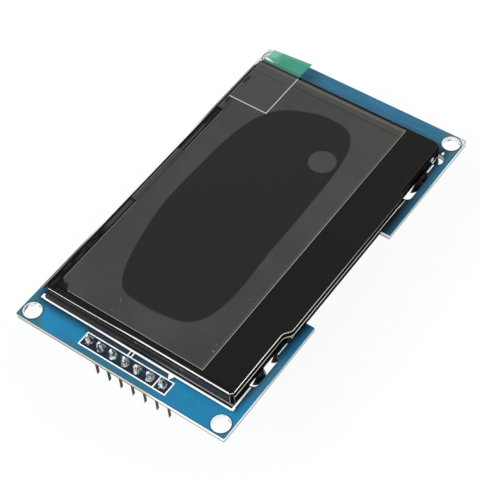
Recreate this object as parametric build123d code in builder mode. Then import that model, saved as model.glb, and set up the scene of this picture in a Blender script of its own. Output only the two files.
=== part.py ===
"""OLED display module: a glass panel on a circuit board with a seven-pin header.

Millimetres. X runs along the board from the header to the far end, Y across it from the flex cable
side, and Z out of the display's face. The origin is the middle of the four mounting holes, on the
back face of the board.
"""

import os

from build123d import *

os.makedirs("parts", exist_ok=True)

# Display panel
panel_length = 62.0
panel_width = 38.4
panel_corner = 0.6
glass_arris = 0.2
foam_thickness = 1.2
foam_inset = 0.15
cap_glass_thickness = 1.1
front_glass_thickness = 0.7
ledge_width = 6.4
cap_setback = 0.35
polarizer_thickness = 0.2
polarizer_end_margin = 1.0
polarizer_far_margin = 1.75

# Circuit board: it reaches past the panel on every side, and farthest where the header stands
board_thickness = 1.0
board_right_margin = 5.2
board_near_margin = 2.45
board_far_margin = 2.15
header_inset = 2.5
header_to_outline = 2.6
board_corner_radius = 0.3
hole_inset = 2.0
hole_diameter = 3.2
hole_ring_width = 0.25
foil_thickness = 0.05
print_thickness = 0.03
print_line = 0.4
fine_line = 0.2
print_gap = 0.2
outline_left_gap = 0.7
outline_near_gap = 0.45
outline_far_gap = 0.6
marker_width = 1.5
tick_spacing = 0.7

# Notch and openings along the flex cable's edge
notch_width = 22.6
notch_depth = 3.5
notch_centre = -0.2
slot_length = 7.0
slot_width = 2.0
slot_inset = 13.7
slot_edge = 1.3
locator_diameter = 2.4
locator_end = 6.5
locator_edge = 2.2

# Film, tape and tab on the polarizer
film_thickness = 0.06
film_overhang = 1.2
film_low_step = 21.4
film_high_step = 34.9
film_last_step = 46.7
torn_corner_length = 1.5
torn_corner_width = 2.4
tape_thickness = 0.06
tape_length = 11.1
tape_width = 8.2
tape_far_margin = 0.7
tab_length = 4.15
tab_width = 7.7
tab_skew = 0.3
tab_overlap = 1.0
tab_thickness = 0.06

# Cover tape on the ledge
cover_thickness = 0.1
cover_drop = 1.4
cover_fold_radius = 0.18
cover_gap = 0.05
bulge_length = 31.8
bulge_run = 2.2
bulge_centre = 0.7

# Flex cable
flex_thickness = 0.12
flex_side_gap = 0.2
flex_bulge_gap = 0.05
flex_bond = 1.85
flex_tail_gap = 0.8
flex_tail_length = 7.4
flex_shoulder_gap = 0.23
flex_fold_gap = 0.3
flex_finger_count = 24
flex_finger_pitch = 0.8
flex_finger_width = 0.42
flex_finger_length = 1.5
flex_finger_height = 0.16

# Glue dabs: two on the slot nearest the header, one beside the notch, two that merge on the other
# slot and one on the small hole
glue_height = 1.1
glue_sink = 0.15
glue_taper = 12
glue_shifts = (-1.1, 3.1, -4.4, 0.7, 2.4, -0.4)
glue_runs = (3.4, 1.5, 2.4, 3.9, 3.0, 2.6)
glue_reaches = (1.2, 0.8, 0.85, 1.1, 1.1, 0.7)

# Driver chip and ledge foam
driver_length = 9.6
driver_width = 1.4
driver_thickness = 0.4
ledge_foam_gap = 0.1
ledge_foam_corner = 0.45

# Pin header
pin_count = 7
pin_pitch = 2.54
pin_size = 0.64
pin_below_housing = 6.1
pin_above_board = 1.4
pin_tip = 0.35
housing_height = 2.54
housing_corner = 0.5
pin_hole_diameter = 1.0
joint_base_diameter = 1.8
joint_top_diameter = 0.86
joint_height = 1.1

# Small parts on the back
capacitor_count = 6
capacitor_pitch = 3.6
capacitor_row_gap = 6.6
resistor_pitch = 2.0
resistor_column_pitch = 4.4
header_clearance = 6.4
regulator_y = 6.2
regulator_capacitor_gap = 5.0
booster_gap = 4.4
diode_gap = 7.6
inductor_gap = 8.2
inductor_capacitor_gap = 7.0
resistor_booster_gap = 4.6
chip_pad_reach = 0.35
resistor_size = (1.6, 0.8, 0.45)
capacitor_size = (2.0, 1.25, 0.9)
chip_terminal = 0.35
sot_body = (2.9, 1.6, 1.1)
sot_lead = (0.4, 0.6, 0.15)
sot_pitch = 0.95
inductor_size = 4.0
inductor_height = 1.9
inductor_core_diameter = 3.2
diode_size = (2.7, 1.6, 1.1)
diode_tab_length = 0.5

# Heights, counted up from the back face of the board
board_top = board_thickness
foam_top = board_top + foam_thickness
cap_top = foam_top + cap_glass_thickness
glass_top = cap_top + front_glass_thickness
polarizer_top = glass_top + polarizer_thickness
film_top = polarizer_top + film_thickness
part_seat = -foil_thickness

# Plan places
board_left_margin = header_inset + header_to_outline + outline_left_gap
board_length = board_left_margin + panel_length + board_right_margin
board_width = board_near_margin + panel_width + board_far_margin
half_length = board_length / 2
half_width = board_width / 2
panel_left = board_left_margin - half_length
panel_right = half_length - board_right_margin
panel_near = board_near_margin - half_width
panel_far = half_width - board_far_margin
panel_middle = ((panel_left + panel_right) / 2, (panel_near + panel_far) / 2)
polarizer_left = panel_left + polarizer_end_margin
polarizer_right = panel_right - polarizer_end_margin
polarizer_near = panel_near + ledge_width
polarizer_far = panel_far - polarizer_far_margin
cap_near = polarizer_near + cap_setback
hole_spacing_x = board_length - 2 * hole_inset
hole_spacing_y = board_width - 2 * hole_inset
slot_y = -half_width + slot_edge + slot_width / 2
slot_centres = [slot_inset - half_length, half_length - slot_inset]
locator_place = (half_length - locator_end, -half_width + locator_edge)
header_x = -half_length + header_inset
pin_places = [(header_x, pin_pitch * (i - (pin_count - 1) / 2)) for i in range(pin_count)]
header_length = pin_count * pin_pitch

# The flex cable folds round a half circle from under the ledge to the back of the board
flex_outer_radius = (cap_top + flex_thickness) / 2
flex_inner_radius = flex_outer_radius - flex_thickness
flex_centre_z = cap_top - flex_outer_radius
notch_floor = -half_width + notch_depth
flex_centre_y = notch_floor - flex_fold_gap
flex_outer_y = flex_centre_y - flex_outer_radius
bulge_y = flex_outer_y - flex_bulge_gap - cover_thickness
edge_y = panel_near - cover_thickness
flex_width = bulge_length - 2 * flex_side_gap
flex_tail_width = notch_width - 2 * flex_tail_gap
flex_tail_end = notch_floor + flex_tail_length


def board_outline():
    """Draw the board's outline with its holes, notch and slots in the open sketch."""
    RectangleRounded(board_length, board_width, board_corner_radius)
    with Locations((notch_centre, -half_width)):
        Rectangle(notch_width, 2 * notch_depth, mode=Mode.SUBTRACT)
    with GridLocations(hole_spacing_x, hole_spacing_y, 2, 2):
        Circle(hole_diameter / 2, mode=Mode.SUBTRACT)
    with Locations(*[(x, slot_y) for x in slot_centres]):
        SlotOverall(slot_length, slot_width, mode=Mode.SUBTRACT)
    with Locations(locator_place):
        Circle(locator_diameter / 2, mode=Mode.SUBTRACT)
    with Locations(*pin_places):
        Circle(pin_hole_diameter / 2, mode=Mode.SUBTRACT)


# Circuit board
with BuildPart() as circuit_board:
    with BuildSketch():
        board_outline()
    extrude(amount=board_thickness)
circuit_board.part.label = "circuit_board"
export_step(circuit_board.part, "parts/circuit_board.step")

# Bare rings round the mounting holes, on both faces
with BuildPart() as mounting_rings:
    for level in (-foil_thickness, board_top):
        with BuildSketch(Plane.XY.offset(level)):
            with GridLocations(hole_spacing_x, hole_spacing_y, 2, 2):
                Circle(hole_diameter / 2 + hole_ring_width)
                Circle(hole_diameter / 2, mode=Mode.SUBTRACT)
        extrude(amount=foil_thickness)
mounting_rings.part.label = "mounting_rings"
export_step(mounting_rings.part, "parts/mounting_rings.step")

# White print: panel outline, header box with its pin divider, pin marker and two ticks
outline_left = panel_left - outline_left_gap
outline_right = panel_right + outline_left_gap
outline_near = panel_near - outline_near_gap
outline_far = panel_far + outline_far_gap
near_openings = [
    (slot_centres[0], slot_length),
    (notch_centre, notch_width),
    (slot_centres[1], slot_length),
    (locator_place[0], locator_diameter),
]
stretch_starts = [outline_left] + [x + width / 2 + print_gap for x, width in near_openings]
stretch_ends = [x - width / 2 - print_gap for x, width in near_openings] + [outline_right]
box_half_length = header_length / 2
box_half_width = pin_pitch / 2
marker_y = pin_places[0][1]
marker_height = outline_left - print_line / 2 - header_x - box_half_width
tick_x = header_x + box_half_width + marker_height / 2

with BuildPart() as white_print:
    with BuildSketch(Plane.XY.offset(board_top)):
        for start, end in zip(stretch_starts, stretch_ends):
            with Locations(((start + end) / 2, outline_near)):
                Rectangle(end - start, print_line)
        with Locations((outline_left, (outline_near + outline_far) / 2)):
            Rectangle(print_line, outline_far - outline_near + print_line)
        with Locations(((outline_left + panel_right) / 2, outline_far)):
            Rectangle(panel_right - outline_left, print_line)
        with Locations((header_x, 0)):
            Rectangle(2 * box_half_width + fine_line, 2 * box_half_length + fine_line)
            Rectangle(2 * box_half_width - fine_line, 2 * box_half_length - fine_line, mode=Mode.SUBTRACT)
        with Locations((header_x, -box_half_length + pin_pitch)):
            Rectangle(2 * box_half_width, fine_line)
        with Locations((tick_x, 0), (tick_x, tick_spacing)):
            Rectangle(marker_height, fine_line)
        with BuildLine():
            Polyline(
                (header_x + box_half_width, marker_y),
                (outline_left, marker_y - marker_width / 2),
                (outline_left, marker_y + marker_width / 2),
                close=True,
            )
        make_face()
    extrude(amount=print_thickness)
white_print.part.label = "white_print"
export_step(white_print.part, "parts/white_print.step")

# Foam tape that holds the panel on the board
with BuildPart() as foam_tape:
    foam_near = cap_near + foam_inset
    with BuildSketch(Plane.XY.offset(board_top)):
        with Locations((panel_middle[0], (foam_near + panel_far - foam_inset) / 2)):
            Rectangle(panel_length - 2 * foam_inset, panel_far - foam_inset - foam_near)
    extrude(amount=foam_thickness)
foam_tape.part.label = "foam_tape"
export_step(foam_tape.part, "parts/foam_tape.step")

# Cap glass, ground back along the ledge
with BuildPart() as cap_glass:
    with BuildSketch(Plane.XY.offset(foam_top)):
        with Locations((panel_middle[0], (cap_near + panel_far) / 2)):
            Rectangle(panel_length, panel_far - cap_near)
        chamfer(vertices().group_by(Axis.Y)[-1], panel_corner)
    extrude(amount=cap_glass_thickness)
cap_glass.part.label = "cap_glass"
export_step(cap_glass.part, "parts/cap_glass.step")

# Front glass with cut corners and a fine arris
with BuildPart() as front_glass:
    with BuildSketch(Plane.XY.offset(cap_top)):
        with Locations(panel_middle):
            Rectangle(panel_length, panel_width)
        chamfer(vertices(), panel_corner)
    extrude(amount=front_glass_thickness)
    chamfer(edges().group_by(Axis.Z)[-1], glass_arris)
front_glass.part.label = "front_glass"
export_step(front_glass.part, "parts/front_glass.step")

# Polarizer
with BuildPart() as polarizer:
    with BuildSketch(Plane.XY.offset(glass_top)):
        with Locations(((polarizer_left + polarizer_right) / 2, (polarizer_near + polarizer_far) / 2)):
            Rectangle(polarizer_right - polarizer_left, polarizer_far - polarizer_near)
    extrude(amount=polarizer_thickness)
polarizer.part.label = "polarizer"
export_step(polarizer.part, "parts/polarizer.step")

# Protective film: its far edge is stepped and one corner is torn off
film_raised = polarizer_far + film_overhang
with BuildPart() as protective_film:
    with BuildSketch(Plane.XY.offset(polarizer_top)):
        with BuildLine():
            Polyline(
                (polarizer_left, polarizer_near),
                (polarizer_right, polarizer_near),
                (polarizer_right, film_raised),
                (polarizer_left + film_last_step, film_raised),
                (polarizer_left + film_last_step, polarizer_far),
                (polarizer_left + film_high_step, polarizer_far),
                (polarizer_left + film_high_step, film_raised),
                (polarizer_left + film_low_step, film_raised),
                (polarizer_left + film_low_step, polarizer_far),
                (polarizer_left + torn_corner_length, polarizer_far),
                (polarizer_left, polarizer_far - torn_corner_width),
                close=True,
            )
        make_face()
    extrude(amount=film_thickness)
protective_film.part.label = "protective_film"
export_step(protective_film.part, "parts/protective_film.step")

# Clear tape on the film's corner, and the green tab stuck under its end
tape_far = panel_far - tape_far_margin
tape_near = tape_far - tape_width
tab_middle = (tape_near + tape_far) / 2
with BuildPart() as clear_tape:
    with BuildSketch(Plane.XY.offset(film_top)):
        with Locations((panel_right - tape_length / 2, tab_middle)):
            Rectangle(tape_length, tape_width)
    extrude(amount=tape_thickness)
clear_tape.part.label = "clear_tape"
export_step(clear_tape.part, "parts/clear_tape.step")

# The tab's free end is cut askew
tab_left = panel_right - tab_overlap
tab_near = tab_middle - tab_width / 2
tab_far = tab_middle + tab_width / 2
with BuildPart() as pull_tab:
    with BuildSketch(Plane.XY.offset(film_top - tab_thickness)):
        with BuildLine():
            Polyline(
                (tab_left, tab_near),
                (tab_left + tab_length + tab_skew, tab_near - tab_skew),
                (tab_left + tab_length - tab_skew, tab_far),
                (tab_left, tab_far),
                close=True,
            )
        make_face()
    extrude(amount=tab_thickness)
pull_tab.part.label = "pull_tab"
export_step(pull_tab.part, "parts/pull_tab.step")


def cover_outline(outer_y, raised_y, inner_y):
    """Return the edges of the ledge cover's outline, which swells out over the flex cable."""
    cover_left = panel_left + panel_corner
    cover_right = panel_right - panel_corner
    swell_left = bulge_centre - bulge_length / 2
    swell_right = bulge_centre + bulge_length / 2
    with BuildLine() as outline:
        near_left = Line((cover_left, inner_y), (cover_left, outer_y))
        start = Line(near_left @ 1, (swell_left - bulge_run, outer_y))
        rise = Spline(start @ 1, (swell_left, raised_y), tangents=[(1, 0), (1, 0)])
        middle = Line(rise @ 1, (swell_right, raised_y))
        fall = Spline(middle @ 1, (swell_right + bulge_run, outer_y), tangents=[(1, 0), (1, 0)])
        end = Line(fall @ 1, (cover_right, outer_y))
        far_right = Line(end @ 1, (cover_right, inner_y))
        Line(far_right @ 1, near_left @ 0)
    return outline.line.edges()


# Black cover tape: a sheet on the ledge, folded down over the edge and the flex cable
cover_inner = polarizer_near - cover_gap
with BuildPart() as ledge_cover:
    with BuildSketch(Plane.XY.offset(glass_top - cover_drop)):
        make_face(cover_outline(edge_y, bulge_y, cover_inner))
    extrude(amount=cover_drop + cover_thickness)
    top_edges = edges().group_by(Axis.Z)[-1]
    fillet(top_edges.filter_by_position(Axis.Y, bulge_y - 1, edge_y + 0.01), cover_fold_radius)
    with BuildSketch(Plane.XY.offset(glass_top - cover_drop)):
        make_face(cover_outline(edge_y + cover_thickness, bulge_y + cover_thickness, cover_inner))
    extrude(amount=cover_drop, mode=Mode.SUBTRACT)
ledge_cover.part.label = "ledge_cover"
export_step(ledge_cover.part, "parts/ledge_cover.step")

# Flex cable: bonded under the ledge, folded through the notch, soldered on the back
flex_start = panel_near + flex_bond
with BuildPart() as flex_cable:
    with BuildSketch(Plane.YZ.offset(bulge_centre - flex_width / 2)):
        with BuildLine():
            top = Line((flex_start, cap_top), (flex_centre_y, cap_top))
            outer = ThreePointArc(
                top @ 1,
                (flex_outer_y, flex_centre_z),
                (flex_centre_y, -flex_thickness),
            )
            under = Line(outer @ 1, (flex_tail_end, -flex_thickness))
            tail = Line(under @ 1, (flex_tail_end, 0))
            back = Line(tail @ 1, (flex_centre_y, 0))
            inner = ThreePointArc(
                back @ 1,
                (flex_centre_y - flex_inner_radius, flex_centre_z),
                (flex_centre_y, cap_top - flex_thickness),
            )
            under_ledge = Line(inner @ 1, (flex_start, cap_top - flex_thickness))
            Line(under_ledge @ 1, top @ 0)
        make_face()
    extrude(amount=flex_width)
    # the cable narrows to its tail just above the board
    with BuildSketch(Plane.XY.offset(board_top + flex_shoulder_gap)):
        with Locations((bulge_centre, 0)):
            Rectangle(2 * board_length, 2 * board_width)
        with Locations((notch_centre, 0)):
            Rectangle(flex_tail_width, 2 * board_width, mode=Mode.SUBTRACT)
    extrude(amount=-board_width, mode=Mode.SUBTRACT)
flex_cable.part.label = "flex_cable"
export_step(flex_cable.part, "parts/flex_cable.step")

# Solder on the flex cable's fingers: one ramp for each, from the cable down to its pad
finger_half_run = flex_finger_pitch * (flex_finger_count - 1) / 2
with BuildPart() as flex_solder:
    for i in range(flex_finger_count):
        finger_left = notch_centre - finger_half_run + i * flex_finger_pitch - flex_finger_width / 2
        with BuildSketch(Plane.YZ.offset(finger_left)):
            with BuildLine():
                Polyline(
                    (flex_tail_end, 0),
                    (flex_tail_end + flex_finger_length / 2, 0),
                    (flex_tail_end + flex_finger_length / 2, -foil_thickness),
                    (flex_tail_end, -flex_thickness - flex_finger_height),
                    (flex_tail_end - flex_finger_length / 2, -flex_thickness - foil_thickness),
                    (flex_tail_end - flex_finger_length / 2, -flex_thickness),
                    (flex_tail_end, -flex_thickness),
                    close=True,
                )
            make_face()
        extrude(amount=flex_finger_width)
flex_solder.part.label = "flex_solder"
export_step(flex_solder.part, "parts/flex_solder.step")

# Driver chip on the hidden side of the ledge
with BuildPart() as driver_chip:
    driver_y = (flex_start + cap_near) / 2
    with BuildSketch(Plane.XY.offset(cap_top - driver_thickness)):
        with Locations((bulge_centre, driver_y)):
            Rectangle(driver_length, driver_width)
    extrude(amount=driver_thickness)
driver_chip.part.label = "driver_chip"
export_step(driver_chip.part, "parts/driver_chip.step")

# Foam blocks that carry the ledge on each side of the flex cable, as deep as the ledge
ledge_foam_far = cap_near - ledge_foam_gap
foam_spans = [
    (panel_left, bulge_centre - bulge_length / 2 - bulge_run),
    (bulge_centre + bulge_length / 2 + bulge_run, panel_right),
]
with BuildPart() as ledge_foam:
    with BuildSketch(Plane.XY.offset(board_top)):
        for start, end in foam_spans:
            with Locations(((start + end) / 2, (panel_near + ledge_foam_far) / 2)):
                Rectangle(end - start, ledge_foam_far - panel_near)
        near_corners = vertices().group_by(Axis.Y)[0].sort_by(Axis.X)
        chamfer([near_corners[0], near_corners[-1]], ledge_foam_corner)
    extrude(amount=cap_top - board_top)
ledge_foam.part.label = "ledge_foam"
export_step(ledge_foam.part, "parts/ledge_foam.step")

# Glue dabs that spill from under the panel's edge into the slots and the small hole
glue_top = board_top + glue_height
notch_left = notch_centre - notch_width / 2
glue_places = [
    slot_centres[0],
    slot_centres[0],
    notch_left,
    slot_centres[1],
    slot_centres[1],
    locator_place[0],
]
with BuildPart() as glue:
    for place, shift, run, reach in zip(glue_places, glue_shifts, glue_runs, glue_reaches):
        with BuildSketch(Plane.XY.offset(glue_sink)):
            with BuildLine():
                left_end = (place + shift - run / 2, panel_near)
                right_end = (place + shift + run / 2, panel_near)
                ThreePointArc(left_end, (place + shift, panel_near - reach), right_end)
                Line(right_end, left_end)
            make_face()
        extrude(amount=glue_top - glue_sink, taper=glue_taper)
    add(circuit_board.part, mode=Mode.SUBTRACT)
    add(white_print.part, mode=Mode.SUBTRACT)
glue.part.label = "glue"
export_step(glue.part, "parts/glue.step")

# Header housing: a bar of seven blocks with cut corners
with BuildPart() as header_housing:
    with BuildSketch(Plane.XY.offset(-housing_height)):
        with Locations(*pin_places):
            Rectangle(pin_pitch, pin_pitch)
        block_corners = [
            (header_x + side * pin_pitch / 2, pin_pitch * (i - pin_count / 2))
            for side in (-1, 1)
            for i in range(pin_count + 1)
        ]
        with Locations(*block_corners):
            Rectangle(housing_corner * 2**0.5, housing_corner * 2**0.5, rotation=45, mode=Mode.SUBTRACT)
        with Locations(*pin_places):
            Rectangle(pin_size, pin_size, mode=Mode.SUBTRACT)
    extrude(amount=housing_height)
header_housing.part.label = "header_housing"
export_step(header_housing.part, "parts/header_housing.step")

# Header pins: square wire with pointed ends
pin_bottom = -housing_height - pin_below_housing
pin_top = board_top + pin_above_board
with BuildPart() as header_pins:
    with BuildSketch(Plane.XY.offset(pin_bottom)):
        with Locations(*pin_places):
            Rectangle(pin_size, pin_size)
    extrude(amount=pin_top - pin_bottom)
    end_edges = edges().group_by(Axis.Z)
    chamfer(end_edges[0] + end_edges[-1], pin_tip, pin_size / 4)
header_pins.part.label = "header_pins"
export_step(header_pins.part, "parts/header_pins.step")

# Header solder joints: each fills its hole, wets its pad and climbs the pin
with BuildPart() as header_solder:
    for place in pin_places:
        with BuildSketch(Plane.XZ.offset(-place[1])):
            with BuildLine():
                Polyline(
                    (place[0], 0),
                    (place[0] + pin_hole_diameter / 2, 0),
                    (place[0] + pin_hole_diameter / 2, board_top),
                    (place[0] + joint_base_diameter / 2, board_top),
                    (place[0] + joint_top_diameter / 2, board_top + joint_height),
                    (place[0], board_top + joint_height),
                    close=True,
                )
            make_face()
        revolve(axis=Axis((place[0], place[1], 0), (0, 0, 1)))
    add(header_pins.part, mode=Mode.SUBTRACT)
header_solder.part.label = "header_solder"
export_step(header_solder.part, "parts/header_solder.step")

# Places of the small parts on the back: a row of capacitors along the cable's tail, two columns of
# resistors and the regulator near the header, and the voltage booster at the far end
capacitor_row = flex_tail_end + capacitor_row_gap
first_capacitor = notch_centre - capacitor_pitch * (capacitor_count - 1) / 2
capacitor_places = [
    (first_capacitor + i * capacitor_pitch, capacitor_row, 90) for i in range(capacitor_count)
]
column_x = header_x + header_clearance
resistor_places = [
    (column_x + column * resistor_column_pitch, flex_tail_end - row * resistor_pitch, 0)
    for column in range(2)
    for row in range(4)
]
regulator_place = (column_x + resistor_column_pitch / 2, regulator_y)
for side in (-1, 1):
    capacitor_places.append((regulator_place[0], regulator_place[1] + side * regulator_capacitor_gap, 0))
booster_place = (notch_centre + notch_width / 2 + booster_gap, capacitor_row)
diode_place = (booster_place[0] + diode_gap, booster_place[1])
inductor_place = ((booster_place[0] + diode_place[0]) / 2, booster_place[1] + inductor_gap)
for side in (-1, 1):
    capacitor_places.append((inductor_place[0] + side * inductor_capacitor_gap, inductor_place[1], 90))
    resistor_x = booster_place[0] + side * resistor_size[0]
    resistor_places.append((resistor_x, booster_place[1] - resistor_booster_gap, 0))


def two_end_chip(place, size):
    """Make a chip part with a terminal cap at each end, seated under the board."""
    x, y, angle = place
    with Locations(Location((x, y, part_seat), (0, 0, angle))):
        Box(size[0] - 0.1, size[1] - 0.06, size[2], align=(Align.CENTER, Align.CENTER, Align.MAX))
        end_shift = (size[0] - chip_terminal) / 2
        with Locations((-end_shift, 0, 0), (end_shift, 0, 0)):
            Box(chip_terminal, size[1], size[2] + 0.02, align=(Align.CENTER, Align.CENTER, Align.MAX))


with BuildPart() as ceramic_capacitors:
    for place in capacitor_places:
        two_end_chip(place, capacitor_size)
ceramic_capacitors.part.label = "ceramic_capacitors"
export_step(ceramic_capacitors.part, "parts/ceramic_capacitors.step")

with BuildPart() as chip_resistors:
    for place in resistor_places:
        two_end_chip(place, resistor_size)
chip_resistors.part.label = "chip_resistors"
export_step(chip_resistors.part, "parts/chip_resistors.step")


def lead_places(place, near_leads, far_leads):
    """Give the foot places of a small package: leads on its -Y side, then on its +Y side."""
    row = sot_body[1] / 2 + sot_lead[1] / 2
    near = [(place[0] + sot_pitch * k, place[1] - row) for k in near_leads]
    far = [(place[0] + sot_pitch * k, place[1] + row) for k in far_leads]
    return near + far


def small_package(place, near_leads, far_leads):
    """Make a small moulded package with gull-wing feet, seated under the board."""
    feet = lead_places(place, near_leads, far_leads)
    body_seat = part_seat - 0.08
    with Locations((place[0], place[1], body_seat)):
        Box(sot_body[0], sot_body[1], sot_body[2], align=(Align.CENTER, Align.CENTER, Align.MAX))
    bevel_faces = faces().sort_by(Axis.Z)[0]
    chamfer(bevel_faces.edges(), 0.12)
    for foot in feet:
        toward = 1 if foot[1] < place[1] else -1
        with Locations((foot[0], foot[1], part_seat)):
            Box(sot_lead[0], sot_lead[1], sot_lead[2], align=(Align.CENTER, Align.CENTER, Align.MAX))
        riser_y = foot[1] + toward * (sot_lead[1] / 2 - sot_lead[2] / 2)
        with Locations((foot[0], riser_y, part_seat)):
            Box(sot_lead[0], sot_lead[2], sot_body[2] / 2, align=(Align.CENTER, Align.CENTER, Align.MAX))


booster_leads = ((-1, 0, 1), (-1, 0, 1))
regulator_leads = ((-1, 1), (0,))

with BuildPart() as voltage_booster:
    small_package(booster_place, *booster_leads)
voltage_booster.part.label = "voltage_booster"
export_step(voltage_booster.part, "parts/voltage_booster.step")

with BuildPart() as regulator:
    small_package(regulator_place, *regulator_leads)
regulator.part.label = "regulator"
export_step(regulator.part, "parts/regulator.step")

# Inductor: a square ferrite base with cut corners under a round wound core
with BuildPart() as inductor:
    with BuildSketch(Plane.XY.offset(part_seat)):
        with Locations(inductor_place):
            Rectangle(inductor_size, inductor_size)
        chamfer(vertices(), inductor_size / 6)
    extrude(amount=-inductor_height / 4)
    with BuildSketch(Plane.XY.offset(part_seat - inductor_height / 4)):
        with Locations(inductor_place):
            Circle(inductor_core_diameter / 2 - 0.25)
    extrude(amount=-inductor_height / 2)
    with BuildSketch(Plane.XY.offset(part_seat - 0.75 * inductor_height)):
        with Locations(inductor_place):
            Circle(inductor_core_diameter / 2 + 0.15)
    extrude(amount=-inductor_height / 4)
inductor.part.label = "inductor"
export_step(inductor.part, "parts/inductor.step")

# Rectifier diode: a moulded body on two end tabs
with BuildPart() as rectifier_diode:
    with Locations((diode_place[0], diode_place[1], part_seat - 0.05)):
        Box(diode_size[0], diode_size[1], diode_size[2], align=(Align.CENTER, Align.CENTER, Align.MAX))
    chamfer(faces().sort_by(Axis.Z)[0].edges(), 0.15)
    tab_shift = diode_size[0] / 2 + diode_tab_length / 2 - 0.1
    for side in (-1, 1):
        with Locations((diode_place[0] + side * tab_shift, diode_place[1], part_seat)):
            Box(diode_tab_length + 0.2, 0.9, 0.2, align=(Align.CENTER, Align.CENTER, Align.MAX))
rectifier_diode.part.label = "rectifier_diode"
export_step(rectifier_diode.part, "parts/rectifier_diode.step")


def end_pads(place, size):
    """Draw the two tinned pads under a two-ended part in the open sketch."""
    x, y, angle = place
    shift = (size[0] - chip_terminal) / 2 + chip_pad_reach / 2
    with Locations(Location((x, y), angle)):
        with Locations((-shift, 0), (shift, 0)):
            Rectangle(chip_terminal + chip_pad_reach, size[1])


# Tinned pads under every part on the back
with BuildPart() as back_pads:
    with BuildSketch(Plane.XY.offset(-foil_thickness)):
        for place in capacitor_places:
            end_pads(place, capacitor_size)
        for place in resistor_places:
            end_pads(place, resistor_size)
        for place, leads in ((booster_place, booster_leads), (regulator_place, regulator_leads)):
            with Locations(*lead_places(place, *leads)):
                Rectangle(sot_lead[0] + 0.2, sot_lead[1] + 0.3)
        for side in (-1, 1):
            with Locations((inductor_place[0] + side * 0.375 * inductor_size, inductor_place[1])):
                Rectangle(0.35 * inductor_size, 0.85 * inductor_size)
            with Locations((diode_place[0] + side * tab_shift, diode_place[1])):
                Rectangle(diode_tab_length + 0.4, 0.75 * diode_size[1])
    extrude(amount=foil_thickness)
back_pads.part.label = "back_pads"
export_step(back_pads.part, "parts/back_pads.step")
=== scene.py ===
import math

import bmesh
import bpy
from mathutils import Matrix, Vector, noise


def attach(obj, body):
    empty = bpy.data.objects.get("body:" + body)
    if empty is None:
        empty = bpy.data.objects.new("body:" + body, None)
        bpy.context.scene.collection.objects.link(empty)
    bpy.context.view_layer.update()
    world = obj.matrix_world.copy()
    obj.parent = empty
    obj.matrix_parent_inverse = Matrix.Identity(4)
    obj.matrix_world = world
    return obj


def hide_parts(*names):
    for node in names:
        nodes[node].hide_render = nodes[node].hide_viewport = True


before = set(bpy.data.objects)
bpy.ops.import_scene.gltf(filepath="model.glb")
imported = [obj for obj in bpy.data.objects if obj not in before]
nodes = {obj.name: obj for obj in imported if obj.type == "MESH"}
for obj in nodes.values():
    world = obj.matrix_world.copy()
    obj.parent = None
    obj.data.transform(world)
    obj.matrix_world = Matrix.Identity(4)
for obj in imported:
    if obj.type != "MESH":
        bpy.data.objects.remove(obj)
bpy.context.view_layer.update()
mm = 0.001
print("frame loaded:", len(nodes), "nodes")


def seen(red, green, blue):  # a colour as seen, 0 to 255, to the linear values that sockets take
    shares = [v / 255 for v in (red, green, blue)]
    return tuple(v / 12.92 if v <= 0.04045 else ((v + 0.055) / 1.055) ** 2.4 for v in shares)


# A value in a material's node tree, so that shader maths reads as plain maths
class Wire:
    def __init__(self, finish, socket):
        self.finish = finish
        self.socket = socket

    def maths(self, operation, *values):
        return self.finish.node("ShaderNodeMath", {"operation": operation}, dict(enumerate(values)))

    def __add__(self, other):
        return self.maths("ADD", self, other)

    def __sub__(self, other):
        return self.maths("SUBTRACT", self, other)

    def __rsub__(self, other):
        return self.maths("SUBTRACT", other, self)

    def __mul__(self, other):
        return self.maths("MULTIPLY", self, other)

    def __truediv__(self, other):
        return self.maths("DIVIDE", self, other)

    def __pow__(self, other):
        return self.maths("POWER", self, other)

    def __neg__(self):
        return self.maths("MULTIPLY", self, -1)

    def __abs__(self):
        return self.maths("ABSOLUTE", self)

    __radd__ = __add__
    __rmul__ = __mul__

    def higher(self, other):
        return self.maths("MAXIMUM", self, other)

    def lower(self, other):
        return self.maths("MINIMUM", self, other)

    def sine(self):
        return self.maths("SINE", self)

    def angleTo(self, other):
        return self.maths("ARCTAN2", self, other)


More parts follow.
